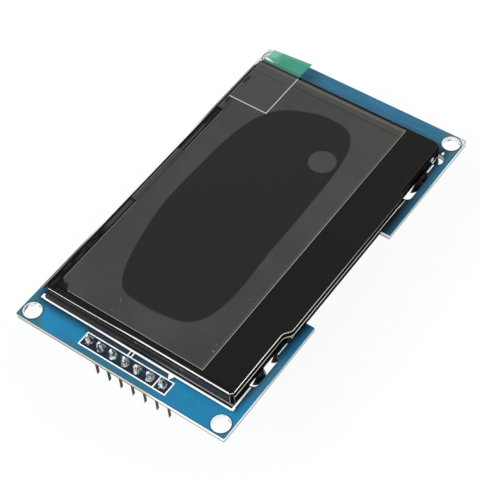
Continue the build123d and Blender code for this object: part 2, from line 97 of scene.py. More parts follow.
# One material: its node tree, with places in millimetres and the face's own direction.
# In the dictionaries below a span is (low, high), a band is (low, high, softness) and a paint is
# (colour, how much of it covers). Places are in mm, and along -y or -x where the code turns the axis
class Finish:
    ground = seen(20, 20, 20)  # colour of a ground, dull surface

    def __init__(self, name):
        self.material = bpy.data.materials.new(name)
        self.material.use_nodes = True
        self.tree = self.material.node_tree
        self.tree.nodes.clear()
        self.point = self.node("ShaderNodeTexCoord", {}, {}, "Object")
        self.x, self.y, self.z = self.parts(self.stretched(1, 1, 1))
        facing = self.node("ShaderNodeNewGeometry", {}, {}, "True Normal")
        self.nx, self.ny, self.nz = self.parts(facing)

    def node(self, kind, settings, values, output=0):
        made = self.tree.nodes.new(kind)
        for key, value in settings.items():
            if key == "stops":
                ramp = made.color_ramp
                while len(ramp.elements) < len(value):
                    ramp.elements.new(0.5)
                for element, (position, colour) in zip(ramp.elements, value):
                    element.position = position
                    element.color = (*colour, 1)
            else:
                setattr(made, key, value)
        for key, value in values.items():
            if isinstance(value, Wire):
                self.tree.links.new(value.socket, made.inputs[key])
            elif isinstance(value, tuple) and len(value) == 3 and made.inputs[key].type == "RGBA":
                made.inputs[key].default_value = (*value, 1)
            else:
                made.inputs[key].default_value = value
        return Wire(self, made.outputs[output]) if len(made.outputs) else made

    def parts(self, vector):
        return [self.node("ShaderNodeSeparateXYZ", {}, {0: vector}, axis) for axis in "XYZ"]

    def stretched(self, x, y, z):  # places in mm, stretched along the axes
        scale = (x / mm, y / mm, z / mm)
        return self.node("ShaderNodeVectorMath", {"operation": "MULTIPLY"}, {0: self.point, 1: scale})

    def grain(self, scale, detail=2.0, rough=0.5, spread=(1, 1, 1)):  # cloudy noise round 0.5
        values = {"Scale": scale, "Detail": detail, "Roughness": rough}
        values["Vector"] = self.stretched(*spread)
        return self.node("ShaderNodeTexNoise", {}, values, "Fac")

    def fade(self, value, low, high):  # rises smoothly from 0 at low to 1 at high
        values = {"Value": value, "From Min": low, "From Max": high}
        return self.node("ShaderNodeMapRange", {"interpolation_type": "SMOOTHSTEP"}, values)

    def within(self, value, low, high, soft):  # 1 between low and high
        past = self.fade(value, high - soft, high + soft)
        return self.fade(value, low - soft, low + soft) * (1 - past)

    def tint(self, share, first, second):  # first colour where share is 0, second where it is 1
        return self.node("ShaderNodeMix", {"data_type": "RGBA"}, {0: share, 6: first, 7: second}, 2)

    def coat(self, under, where, paint):  # a paint laid over a colour
        colour, cover = paint
        return self.tint(where * cover, under, colour)

    def ramp(self, share, *stops):
        return self.node("ShaderNodeValToRGB", {"stops": stops}, {0: share})

    def outside(self, low, high):  # distance outside a rectangle in plan, below 0 inside it
        alongX = abs(self.x - (low[0] + high[0]) / 2) - (high[0] - low[0]) / 2
        alongY = abs(self.y - (low[1] + high[1]) / 2) - (high[1] - low[1]) / 2
        return alongX.higher(alongY)

    def away(self, x, y):  # distance from a place in plan
        return ((self.x - x) ** 2 + (self.y - y) ** 2) ** 0.5

    def bump(self, height, strength, distance=0.05):
        values = {"Height": height, "Strength": strength, "Distance": distance * mm}
        return self.node("ShaderNodeBump", {}, values)

    def close(self, dull=None, **sockets):  # dull: share of the surface that is ground matt and dark
        values = {key.replace("_", " "): value for key, value in sockets.items()}
        shader = self.node("ShaderNodeBsdfPrincipled", {}, values)
        if dull is not None:
            ground = self.node("ShaderNodeBsdfDiffuse", {}, {"Color": self.ground})
            shader = self.node("ShaderNodeMixShader", {}, {0: dull, 1: shader, 2: ground})
        self.node("ShaderNodeOutputMaterial", {}, {"Surface": shader})
        return self.material


def dress(material, *names):
    for name in names:
        piece = nodes[name]
        piece.data.materials.clear()
        piece.data.materials.append(material)


# Panel corners in plan, which several finishes share
panel = {"low": (-30.7, -19.05), "high": (31.3, 19.35)}

# Circuit board: blue mask with painted shade towards the panel, pale glass fibre at its edges
board = {
    "holes": (34.5, 19.5, 1.6),  # middle and radius
    "end": (36.5, 21.5),  # half length and half width
    "face": (0.5, 0.9),  # heights from which a finish of the face starts and is full
    "turned": (0.5, 0.8),  # how far a surface has turned a way, 1 when it looks straight there
    "pale": seen(255, 255, 255),
    # the mask from the header to the far end
    "header": seen(29, 128, 172),
    "headerDeep": seen(28, 120, 162),
    "cloudSpan": (0.35, 0.65),
    "farEnd": seen(44, 100, 128),
    "farEndX": (-26, 30),
    "rowSide": (seen(52, 98, 116), 0.75),
    "rowSideX": (-35.4, -35.1),
    "rowSideY": (-8, 11, 4),
    # the flex side is darkest beside the notch, partly the mask's own tone and partly painted shade,
    # and lighter at the board's edge
    "flexDark": seen(24, 66, 106),
    "flexDarkEnd": seen(34, 54, 70),
    "flexTurnX": (-12, 12),
    "flexCover": 0.8,
    "flexY": (-19.9, -18.6),
    "notchX": (13, 31),
    "flexRim": ((20.4, 21.4), 0.35),  # where, and how much lighter
    "besideSlot": (seen(62, 108, 126), 0.6),
    "slotX": (-28, -19.5, 1.5),
    "slotY": (19, 19.8),
    # faint lanes and a duller corner at the far end
    "endLanes": (seen(60, 150, 200), 0.25),
    "endLanesX": (31, 32),
    "endLanesDepth": (0.0, 0.1),
    "endCorner": seen(74, 104, 116),
    "endCornerSpan": (51.5, 54.5),
    # painted shade towards the panel, each side by its own reach
    "nearPanel": seen(20, 36, 48),
    "headerReach": (0.6, 3.0),
    "headerNarrows": ((7.5, 9.5), 0.9),  # where, and how much
    "flexReach": (((0.4, 1.9), 0.85), ((0, 0.4), 0.15)),  # two spans and their shares
    "farReach": (0.5, 2.3),
    "besideRowX": (-32.9, -31.0, 0.15),
    "besideRow": (
        ((-1.6, 9.4, 0.5), (seen(40, 56, 68), 0.9)),
        ((-8.0, -1.8, 0.6), (seen(58, 84, 100), 0.65)),
    ),
    # the strip between panel and outline carries the panel's grey band on, a painted reflection, with a
    # painted highlight line and painted shade
    "stripX": (-31.27, -29.5, 0.03),
    "stripY": (-19.2, 19.4, 0.1),
    "stripGrey": seen(58, 58, 58),
    "stripMottle": (seen(80, 80, 82), 0.6),
    "stripMottleSpan": (0.35, 0.7),
    "stripHighlight": seen(168, 170, 174),
    "stripHighlightX": (-30.94, -30.76, 0.04),
    "stripHighlightY": (2, 8),
    "stripShade": seen(12, 13, 16),
    "stripShadeX": (-31.02, -30.94),
    "stripShadeY": (-5, -1),
    # the outline's ink has spread a little on the header side
    "spreadX": ((-31.68, -31.62), (-31.5, -31.45)),  # where it starts and where it stops
    "spreadY": (-19.4, 19.4, 0.1),
    "spreadDrift": ((-7, 0), 0.06),  # where, and how much wider
    # the strip along the far edge carries a painted reflection of the backdrop
    "farStripX": (-30.6, -29.5),
    "farStripY": (20.6, 20.7),
    "farGrey": seen(112, 116, 118),
    "farGreyX": (12, 20),
    "farGreyShift": 1,
    "farPaleX": (-26, -22),
    "farPaleY": (21.18, 21.26),
    "farDark": seen(16, 17, 18),
    "farDarkY": (21.13, 21.25),
    "farRim": seen(66, 70, 72),
    "farRimX": (-24, -19),
    "farRimY": (21.4, 21.44),
    # corners, by the sum or the difference of x and y
    "paleCorner": seen(206, 214, 212),
    "paleCornerSpans": ((52.6, 53.4), (56.2, 56.6)),
    "teal": (seen(58, 104, 108), 0.8),
    "tealSpans": ((50.6, 53.5), (54.5, 57.5)),
    "rim": seen(40, 92, 116),
    "rimWidth": (0.05, 0.3),
    "rimCover": 0.6,
    "rimEndY": (20, 20.5),
    # painted shade in the header box, between the solder lumps
    "box": ((-35.22, -8.84), (-32.78, 8.84)),
    "boxEdge": (-0.08, 0.02),
    "boxCover": 0.95,
    "boxShade": seen(22, 25, 33),
    "boxShadeLight": seen(24, 54, 76),
    "boxShadeSpan": (0.56, 0.72),
    "boxShadeDrift": (34, 0.12),  # lighter away from the board's end
    # copper under the mask shows as lighter lanes on the back
    "lanes": (seen(60, 150, 200), 0.35),
    "laneSpan": (0.8, 0.84),
    "laneGroups": ((0.53, 0.535), (0.465, 0.47)),  # noise for lanes across and along
    # the edges: whiter near the flex side's ends, with thin painted shade at the foot
    "edge": seen(186, 197, 202),
    "edgeStreak": seen(154, 168, 176),
    "edgeTopZ": (0.8, 0.9),
    "edgeTopCover": 0.5,
    "edgeWarm": seen(188, 192, 182),
    "edgeWarmY": (5, 9),
    "edgeFootShade": seen(92, 88, 88),
    "edgeFootShadeZ": (0.22, 0.38),
    "paleBlue": seen(236, 244, 246),
    "paleBlueX": (22, 30),
    "paleBlueCover": 0.8,
    "holeWall": seen(240, 244, 246),
    "holeWallEdge": (0.05, 0.15),
    # brown patches on the hole walls are painted shade
    "holeWallShade": (seen(110, 84, 62), 0.8),
    "holeWallShadeSpan": (0.56, 0.63),
}


def fromHoles(f):  # distance from the nearest corner hole's middle
    holeX, holeY, holeR = board["holes"]
    return ((abs(f.x) - holeX) ** 2 + (abs(f.y) - holeY) ** 2) ** 0.5


def panelShade(f):  # 1 at the panel's foot, 0 beyond its reach
    (lowX, lowY), (highX, highY) = panel["low"], panel["high"]
    narrowsY, narrows = board["headerNarrows"]
    (wide, wideShare), (foot, footShare) = board["flexReach"]
    fromHeader = (lowX - f.x) * (1 + f.fade(-f.y, *narrowsY) * narrows)
    atHeader = 1 - f.fade(fromHeader, *board["headerReach"])
    atFlex = 1 - f.fade(lowY - f.y, *wide) * wideShare - f.fade(lowY - f.y, *foot) * footShare
    atEnd = 1 - f.fade(f.x - highX, *board["farReach"])
    atFar = 1 - f.fade(f.y - highY, *board["farReach"])
    return atHeader * atFlex * atEnd * atFar


def maskColour(f):
    face = f.fade(f.z, *board["face"])
    mask = f.tint(f.fade(f.grain(0.25, 3), *board["cloudSpan"]), board["headerDeep"], board["header"])
    mask = f.tint(f.fade(f.x, *board["farEndX"]), mask, board["farEnd"])
    outer = (1 - f.fade(f.x, *board["rowSideX"])) * f.within(f.y, *board["rowSideY"])
    mask = f.coat(mask, outer, board["rowSide"])
    rimY, rimLight = board["flexRim"]
    # partly painted shade beside the notch
    besideNotch = (1 - f.fade(f.y, *board["flexY"])) * (1 - f.fade(abs(f.x), *board["notchX"]))
    besideNotch = besideNotch * (1 - rimLight * f.fade(-f.y, *rimY))
    flexTone = f.tint(f.fade(f.x, *board["flexTurnX"]), board["flexDark"], board["flexDarkEnd"])
    mask = f.coat(mask, besideNotch * face, (flexTone, board["flexCover"]))
    besideSlot = f.within(f.x, *board["slotX"]) * f.fade(-f.y, *board["slotY"])
    mask = f.coat(mask, besideSlot, board["besideSlot"])
    lanes = f.fade(f.grain(1.0, 2, 0.6, (5, 0.12, 1)) - 0.5, *board["endLanesDepth"])
    mask = f.coat(mask, f.fade(f.x, *board["endLanesX"]) * lanes, board["endLanes"])
    mask = f.tint(f.fade(f.x - f.y, *board["endCornerSpan"]), mask, board["endCorner"])
    # painted shade beside the panel
    mask = f.tint(panelShade(f) * face, mask, board["nearPanel"])
    for band, paint in board["besideRow"]:
        besideRow = f.within(f.y, *band) * f.within(f.x, *board["besideRowX"])
        mask = f.coat(mask, besideRow * face, paint)
    return mask


# the strip is a painted reflection band with a painted highlight line and painted shade
def besidePanel(f):  # colour of the strip between panel and outline
    mottle = f.fade(f.grain(1.3, 3, 0.6), *board["stripMottleSpan"])
    strip = f.coat(board["stripGrey"], mottle, board["stripMottle"])
    light = f.within(f.x, *board["stripHighlightX"]) * f.fade(-f.y, *board["stripHighlightY"])
    strip = f.tint(light, strip, board["stripHighlight"])
    dark = (1 - f.fade(f.x, *board["stripShadeX"])) * f.fade(-f.y, *board["stripShadeY"])
    return f.tint(dark, strip, board["stripShade"])


# a painted reflection of the backdrop along the far edge
def farStripReflection(f):  # colour of the strip along the far edge
    atEnds = f.fade(abs(f.x + board["farGreyShift"]), *board["farGreyX"])
    strip = f.tint(atEnds, board["pale"], board["farGrey"])
    pale = (1 - f.fade(f.x, *board["farPaleX"])) * (1 - f.fade(f.y, *board["farPaleY"]))
    strip = f.tint(pale, strip, board["pale"])
    strip = f.tint(1 - f.fade(f.y, *board["farDarkY"]), strip, board["farDark"])
    rim = f.fade(f.y, *board["farRimY"]) * (1 - f.fade(f.x, *board["farRimX"]))
    return f.tint(rim, strip, board["farRim"])


def backLanes(f):  # 1 on the copper lanes, which run across in some places and along in others
    values = {"Scale": 0.3, "Distortion": 0.6, "Detail": 0.0, "Detail Scale": 0.2}
    values["Vector"] = f.stretched(1, 1, 0)
    waves = [f.node("ShaderNodeTexWave", {"bands_direction": way}, values, "Fac") for way in "XY"]
    across, along = [f.fade(wave, *board["laneSpan"]) for wave in waves]
    groups = f.grain(0.09, 0)
    acrossSpan, alongSpan = board["laneGroups"]
    return (across * f.fade(groups, *acrossSpan)).higher(along * (1 - f.fade(groups, *alongSpan)))


def faceColour(f):
    face = f.fade(f.z, *board["face"])
    mask = maskColour(f)
    inStrip = f.within(f.x, *board["stripX"]) * f.within(f.y, *board["stripY"])
    mask = f.tint(inStrip * face, mask, besidePanel(f))
    driftY, drift = board["spreadDrift"]
    startX, stopX = board["spreadX"]
    spread = f.fade(f.x + f.fade(-f.y, *driftY) * drift, *startX) * (1 - f.fade(f.x, *stopX))
    mask = f.tint(spread * f.within(f.y, *board["spreadY"]) * face, mask, board["pale"])
    inFarStrip = f.fade(f.y, *board["farStripY"]) * f.fade(f.x, *board["farStripX"])
    mask = f.tint(inFarStrip * face, mask, farStripReflection(f))
    farCorner, flexCorner = board["paleCornerSpans"]
    corner = f.fade(f.x + f.y, *farCorner).higher(f.fade(f.x - f.y, *flexCorner))
    mask = f.tint(corner * face, mask, board["paleCorner"])
    farCorner, flexCorner = board["tealSpans"]
    corner = f.fade(f.y - f.x, *farCorner).higher(f.fade(-f.x - f.y, *flexCorner))
    mask = f.coat(mask, corner, board["teal"])
    fromEdge = (board["end"][0] - abs(f.x)).lower(board["end"][1] - abs(f.y))
    rim = (1 - f.fade(fromEdge, *board["rimWidth"])) * board["rimCover"]
    mask = f.tint(rim * (1 - f.fade(f.y, *board["rimEndY"])), mask, board["rim"])
    # painted shade in the header box
    inBox = (1 - f.fade(f.outside(*board["box"]), *board["boxEdge"])) * face
    shift, drift = board["boxShadeDrift"]
    thin = f.fade(f.grain(0.8, 3) + (f.x + shift) * drift, *board["boxShadeSpan"])
    boxShade = f.tint(thin, board["boxShade"], board["boxShadeLight"])
    mask = f.coat(mask, inBox, (boxShade, board["boxCover"]))
    return f.coat(mask, backLanes(f) * (1 - face), board["lanes"])


def edgeColour(f):
    side = f.tint(f.grain(2.0, 3, 0.6, (0.4, 0.4, 6.0)), board["edgeStreak"], board["edge"])
    side = f.coat(side, f.fade(f.z, *board["edgeTopZ"]), (board["rim"], board["edgeTopCover"]))
    # painted shade along the foot of the edges
    foot = 1 - f.fade(f.z, *board["edgeFootShadeZ"])
    headerEdge = f.tint(f.fade(-f.y, *board["edgeWarmY"]), board["edgeWarm"], board["pale"])
    headerEdge = f.tint(foot, headerEdge, board["edgeFootShade"])
    side = f.tint(f.fade(-f.nx, *board["turned"]), side, headerEdge)
    flexEdge = f.tint(foot, board["paleBlue"], board["edgeFootShade"])
    nearEnds = f.fade(-f.ny, *board["turned"]) * f.fade(abs(f.x), *board["paleBlueX"])
    side = f.coat(side, nearEnds, (flexEdge, board["paleBlueCover"]))
    holeR = board["holes"][2]
    inner, outer = board["holeWallEdge"]
    holeWall = 1 - f.fade(fromHoles(f), holeR + inner, holeR + outer)
    side = f.tint(holeWall, side, board["holeWall"])
    # painted shade in brown patches on the hole walls
    wallShade = f.fade(f.grain(1.1, 2), *board["holeWallShadeSpan"])
    return f.coat(side, wallShade * holeWall, board["holeWallShade"])


def boardMaterial():
    f = Finish("board_mask")
    return f.close(
        Base_Color=f.tint(f.fade(abs(f.nz), *board["turned"]), edgeColour(f), faceColour(f)),
        Roughness=0.34 + f.grain(1.5, 3) * 0.1,
        Specular_IOR_Level=0.16,
        Normal=f.bump(f.grain(2.2, 4), 0.1),
    )


dress(boardMaterial(), "circuit_board")
print("board dressed")

# Bare metal and print on the board
bare = {
    "tin": seen(250, 251, 252),
    "tinShade": seen(214, 217, 220),
    "tinSpan": (0.3, 0.55),
    "lap": (1.64, 1.7),
    "lapShade": 0.7,
    "ink": seen(252, 253, 254),
    "inkThin": seen(240, 244, 246),
    "inkSpan": (0.3, 0.45),
    # the ink glows faintly: painted light that lifts it out of the panel's shade
    "inkGlow": 0.14,
    # the outline is painted dark: painted shade where the panel's shade meets it and beside the notch,
    # and dark behind the far corner
    "inkShaded": seen(22, 34, 44),
    "headerX": (-31.37, -31.0, 0.02),
    "headerY": (-19.25, 19.4, 0.05),
    "flexX": (-31.0, 31, 0.1),
    "flexY": (19.6, 19.9, 0.02),
    "notchTurns": (
        ((-20, -13, 0.5), (19.1, 19.42, 0.02)),
        ((15, 19.6, 0.2), (19.1, 19.5, 0.02)),
    ),
    "farCornerX": (-30.75, -29.2, 0.05),
    "farCornerY": (19.2, 19.3),
}


def tinColour(f):
    return f.tint(f.fade(f.grain(1.6, 3), *bare["tinSpan"]), bare["tinShade"], bare["tin"])


def tinMaterial():
    f = Finish("tinned_copper")
    return f.close(
        Base_Color=tinColour(f),
        Metallic=1.0,
        Roughness=0.3 + f.grain(3.0, 2) * 0.2,
        Normal=f.bump(f.grain(4.0, 3), 0.15),
    )


def ringMaterial():  # tin at the hole, and the mask laps over the ring's outer part
    f = Finish("hole_ring")
    lapped = f.fade(fromHoles(f), *bare["lap"])
    lap = f.tint(bare["lapShade"], maskColour(f), board["nearPanel"])
    return f.close(
        Base_Color=f.tint(lapped, tinColour(f), lap),
        Metallic=1 - lapped,
        Roughness=0.3 + f.grain(3.0, 2) * 0.1,
        Specular_IOR_Level=0.16,
        Normal=f.bump(f.grain(4.0, 3), 0.1),
    )


def inkMaterial():
    f = Finish("white_ink")
    ink = f.tint(f.fade(f.grain(2.5, 3), *bare["inkSpan"]), bare["inkThin"], bare["ink"])
    # painted shade on the outline
    shaded = f.within(f.x, *bare["headerX"]) * f.within(f.y, *bare["headerY"])
    shaded = shaded.higher(f.within(-f.y, *bare["flexY"]) * f.within(f.x, *bare["flexX"]))
    for turnX, turnY in bare["notchTurns"]:
        shaded = shaded.higher(f.within(f.x, *turnX) * f.within(-f.y, *turnY))
    shaded = shaded.higher(f.within(f.x, *bare["farCornerX"]) * f.fade(f.y, *bare["farCornerY"]))
    return f.close(
        Base_Color=f.tint(shaded, ink, bare["inkShaded"]),
        Roughness=0.6 + f.grain(5.0, 2) * 0.2,
        Specular_IOR_Level=0.3,
        # painted light: a faint glow on the ink
        Emission_Color=f.tint(shaded, (1.0, 1.0, 1.0), (0.0, 0.0, 0.0)),
        Emission_Strength=bare["inkGlow"],
        Normal=f.bump(f.grain(6.0, 3), 0.1),
    )


dress(ringMaterial(), "mounting_rings")
dress(tinMaterial(), "back_pads", "flex_solder")
dress(inkMaterial(), "white_print")
print("metal and print dressed")

# The panel's glasses and foam: black above, a painted reflection band along the sides, with painted
# highlights and glints
glass = {
    "side": (0.3, 0.5),
    "upright": (0.2, 0.4),
    "end": (0.55, 0.62),
    "slant": (0.4, 0.92, 0.06),
    "black": seen(3, 3, 2),
    # white of the painted highlights on the arrises and along the header end
    "arris": seen(255, 255, 255),
    "farArris": (0.3, 0.4),
    # the header end's painted highlight line runs a little lower away from the flex
    "lineHeight": 3.76,
    "lineFall": 0.35,
    "lineFallY": (-2, 16),
    "lineHalf": 0.145,
    "lineSoft": 0.03,
    # the dark line under it
    "gap": seen(4, 4, 5),
    "gapFoot": 3.06,
    "gapSoft": 0.04,
    "gapDrop": 0.22,
    "gapDropY": (-2, 2),
    "gapDull": 0.9,
    # the grey band, a painted reflection, and the painted glints in it, each by its y and z
    "band": seen(42, 41, 41),
    "bandLight": seen(58, 62, 67),
    "bandSpan": (0.45, 0.85),
    "bandRise": 0.4,
    "bandRiseY": (-2, 16),
    "glints": ((0.3, 2.6), (-8.9, 2.3)),
    "glint": (seen(120, 130, 124), 0.5),
    "glintReach": (0.2, 0.55),
    "glintFlat": (3, 0.6),  # weights of y and z
    # the flex side with its corners and their painted highlight lines, and a painted glint beside the
    # far corner
    "flexSide": seen(5, 4, 3),
    "corner": seen(3, 3, 4),
    "cornerHighlight": seen(150, 156, 160),
    "cornerHighlightY": (18.42, 18.5),
    "cornerHighlightX": (-30.2, -30.1),
    "flexGlint": seen(255, 250, 236),
    "flexGlintPlace": (28.8, 1.9),  # x and z
    "flexGlintReach": (0.25, 0.6),
    # the bare strip beside the film's far edge is dull, with mottled grey patches
    "stripY": (17.3, 17.4),
    "stripUp": (0.95, 0.99),
    "stripDull": 0.8,
    "grey": seen(54, 54, 52),
    "greyY": (18.08, 18.88, 0.06),
    "mottle": ((0.46, 0.6), 0.6),  # noise, and how grey
    "shortPatchX": (-16, -8, 1.5),
    "longPatchX": (4, 17, 0.5),
    "longPatchFades": ((11, 14), 0.6),  # where, and how much
    "longPatchEndY": (18.5, 18.7),
    "foamCell": (seen(24, 24, 25), 0.25),
    "foamCellSpan": (0.3, 0.8),
}


def towardHeader(f):
    return f.fade(-f.nx, *glass["side"])


def towardFlex(f):
    return f.fade(-f.ny, *glass["side"])


def upright(f):
    return 1 - f.fade(abs(f.nz), *glass["upright"])


def highlightLine(f):
    fromMiddle = f.z - (glass["lineHeight"] - f.fade(f.y, *glass["lineFallY"]) * glass["lineFall"])
    half, soft = glass["lineHalf"], glass["lineSoft"]
    above = f.fade(fromMiddle, -half - soft, -half + soft)
    below = 1 - f.fade(fromMiddle, half - soft, half + soft)
    return above * below * f.fade(-f.nx, *glass["end"])


def darkGap(f):
    height = f.z + f.fade(f.y, *glass["gapDropY"]) * glass["gapDrop"]
    foot, soft = glass["gapFoot"], glass["gapSoft"]
    return f.fade(height, foot - soft, foot + soft) * upright(f) * (1 - towardFlex(f))


# the sides carry a painted reflection band with painted glints and highlight lines
def sideBand(f):  # colour of the panel's sides
    atHeader, atFlex = towardHeader(f), towardFlex(f)
    mottle = f.grain(1.3, 3, 0.6, (1, 0.6, 1.6)) + f.fade(-f.y, *glass["bandRiseY"]) * glass["bandRise"]
    band = f.tint(f.fade(mottle, *glass["bandSpan"]), glass["band"], glass["bandLight"])
    flatY, flatZ = glass["glintFlat"]
    for y, z in glass["glints"]:
        reach = ((f.y - y) ** 2 * flatY + (f.z - z) ** 2 * flatZ) ** 0.5
        band = f.coat(band, (1 - f.fade(reach, *glass["glintReach"])) * atHeader, glass["glint"])
    band = f.tint(darkGap(f), band, glass["gap"])
    # painted highlight lines beside the corner
    nearCorner = f.fade(-f.y, *glass["cornerHighlightY"]) * (1 - atFlex) * atHeader
    band = f.tint(nearCorner, band, glass["cornerHighlight"])
    flexSide = f.tint(1 - f.fade(f.x, *glass["cornerHighlightX"]), glass["flexSide"], glass["cornerHighlight"])
    band = f.tint(atFlex, band, flexSide)
    # a painted glint beside the far corner
    endX, endZ = glass["flexGlintPlace"]
    reach = ((f.x - endX) ** 2 + (f.z - endZ) ** 2) ** 0.5
    band = f.tint((1 - f.fade(reach, *glass["flexGlintReach"])) * atFlex, band, glass["flexGlint"])
    return f.tint(atFlex * atHeader, band, glass["corner"])


def greyPatches(f):
    span, share = glass["mottle"]
    grey = f.fade(f.grain(0.8, 3, 0.6, (0.5, 1.6, 1)), *span) * share
    fadeX, fades = glass["longPatchFades"]
    longPatch = f.within(f.x, *glass["longPatchX"]) * (1 - f.fade(f.x, *fadeX) * fades)
    longPatch = longPatch * (1 - f.fade(f.y, *glass["longPatchEndY"]))
    grey = grey.higher(f.within(f.x, *glass["shortPatchX"])).higher(longPatch)
    return grey * f.within(f.y, *glass["greyY"])


def frontGlassMaterial():
    f = Finish("front_glass")
    slant = f.within(f.nz, *glass["slant"])
    line = highlightLine(f)
    headerArris = slant * line
    endArris = slant * f.fade(f.nx, *glass["end"])
    farArris = slant * f.fade(f.ny, *glass["farArris"]) * (1 - headerArris) * (1 - endArris)
    # the arrises are painted highlights, white and mirror-like
    shining = headerArris.higher(endArris)
    colour = f.tint(upright(f), glass["black"], sideBand(f))
    colour = f.tint(shining.higher(line), colour, glass["arris"])
    bareStrip = f.fade(f.y, *glass["stripY"]) * f.fade(f.nz, *glass["stripUp"])
    grey = greyPatches(f)
    colour = f.tint(bareStrip * grey, colour, glass["grey"])
    dull = farArris.higher(bareStrip * (1 - grey) * glass["stripDull"])
    return f.close(
        dull=dull.higher(darkGap(f) * (1 - line) * glass["gapDull"]),
        Base_Color=colour,
        Metallic=shining,
        Roughness=0.1 + f.grain(0.8, 2) * 0.05,
        Specular_IOR_Level=0.17,
        Normal=f.bump(f.grain(0.4, 2), 0.02),
    )


def capGlassMaterial():
    f = Finish("cap_glass")
    return f.close(
        dull=darkGap(f) * glass["gapDull"],
        Base_Color=sideBand(f),
        Roughness=0.2 + f.grain(0.8, 3) * 0.1,
        Specular_IOR_Level=0.06,
        Normal=f.bump(f.grain(1.5, 2), 0.05),
    )


def foamMaterial():
    f = Finish("foam_tape")
    values = {"Vector": f.stretched(1, 1, 1), "Scale": 6.0}
    cells = f.node("ShaderNodeTexVoronoi", {}, values, "Distance")
    return f.close(
        Base_Color=f.coat(sideBand(f), f.fade(cells, *glass["foamCellSpan"]), glass["foamCell"]),
        Roughness=0.8 + cells * 0.05,
        Specular_IOR_Level=0.05,
        Normal=f.bump(cells, 0.3),
    )


dress(frontGlassMaterial(), "front_glass")
dress(capGlassMaterial(), "cap_glass")
dress(foamMaterial(), "foam_tape", "ledge_foam")
print("panel dressed")

# Polarizer and the film on it, with the dark patch where the film clings
film = {
    "low": (-29.7, -12.65),
    "high": (30.3, 17.6),
    "raised": 18.8,
    "steps": (-8.3, 5.2, 17.0),
    "stepHides": (0.2, 0.25, 0.05),  # how far the line is hidden beside a step, and softness
    "stepHidesY": (17.4, 17.5),
    # painted reflection over the display, a grey veil
    "veilReflection": seen(55, 55, 53),
    "veilCool": seen(56, 57, 58),
    "veilTurn": ((-24, 24), 0.8),
    "veilLight": (seen(66, 66, 64), 0.6),
    "veilLightSpan": (0.4, 0.7),
    "endStripes": (
        ((28.2, 28.65, 0.15), (seen(42, 48, 40), 0.6)),
        ((28.65, 29.6, 0.2), (seen(70, 72, 54), 0.4)),
        ((29.75, 30.02, 0.06), (seen(108, 102, 90), 0.7)),
    ),
    "farCorner": (seen(57, 61, 62), 0.7),
    "farCornerPlace": (-25.1, 13.0),
    "farCornerReach": (1, 6),
    # painted shade runs beside the raised far edge, a dark line in the fold and a dusky band, each with
    # its bands along x and y
    "folds": (
        ((6, 17.5, 1), (17.26, 17.42, 0.05), (seen(34, 34, 33), 0.75)),
        ((-9, 20, 3), (17.4, 17.9, 0.2), (seen(36, 36, 36), 0.5)),
    ),
    "nearLine": (seen(100, 100, 96), 0.35),
    "nearLineInset": (0.35, 0.5, 0.06),
    # the patch's radius waves with the angle round its middle
    "cling": seen(23, 23, 23),
    "clingEdge": 0.012,
    "patchMiddle": (0.3, 2.5),
    "patchHalf": (25.2, 10.8),
    "patchRadius": 1.063,
    "patchWaves": (
        (-0.017, -0.022), (0.002, 0.004), (0.004, -0.033), (-0.077, -0.016), (0.001, 0.018),
        (0.0, -0.008), (0.002, 0.005), (0.009, 0.008), (0.001, -0.006),
    ),
    "bubble": (16.3, -4.3, 2.5),
    "bubbleSoft": 0.12,
    "speck": (seen(140, 140, 136), 0.4),
    "specks": (
        (-26.4, 6.6, 0.10), (-26.0, 6.85, 0.07), (-28.6, 6.7, 0.08),
        (-25.9, -11.9, 0.12), (-24.6, -11.6, 0.08), (-14.5, -10.9, 0.08),
    ),
    "nick": seen(22, 22, 20),
    "nickX": (18.9, 20.4, 0.1),
    "nickY": (18.2, 18.3),
    "nickRagged": (0.8, 0.5),
    # the cut edge shines, most along the near side
    "line": seen(168, 168, 160),
    "lineDim": seen(120, 120, 116),
    "lineWidth": 0.13,
    "lineCore": 0.4,
    "lineCover": 0.9,
    "brightY": (-12.3, -11.9),
    "brightFades": ((2, 20), 0.5),
    "headerLine": ((-29.4, -29.2), 0.5),
    # the torn corner is ragged and dark
    "torn": seen(14, 12, 12),
    "tornCorner": (-28.2, 15.2),
    "tornSpan": (-2.4, -1.8),
    "tornEdge": (-0.45, -0.25),
    "tornRagged": 3.0,
    # what shows of the polarizer
    "polarizer": seen(12, 12, 12),
    "polarizerLight": seen(38, 38, 38),
    "polarizerCornerX": (-28.4, -27.6),
    "polarizerCornerY": (14.4, 15.0),
    "polarizerDull": 0.7,
}


def filmLine(f):  # 1 along the film's cut edge
    low, high = film["low"], film["high"]
    first, second, third = film["steps"]
    edge = f.outside(low, high)
    edge = edge.lower(f.outside((first, 0), (second, film["raised"])))
    edge = edge.lower(f.outside((third, 0), (high[0], film["raised"])))
    line = f.fade(edge, -film["lineWidth"], -film["lineWidth"] * film["lineCore"])
    before, after, soft = film["stepHides"]
    atStep = f.within(f.x, first - before, first + after, soft)
    atStep = atStep.higher(f.within(f.x, second - after, second + before, soft))
    atStep = atStep.higher(f.within(f.x, third - before, third + after, soft))
    return line * (1 - atStep * f.fade(f.y, *film["stepHidesY"]))


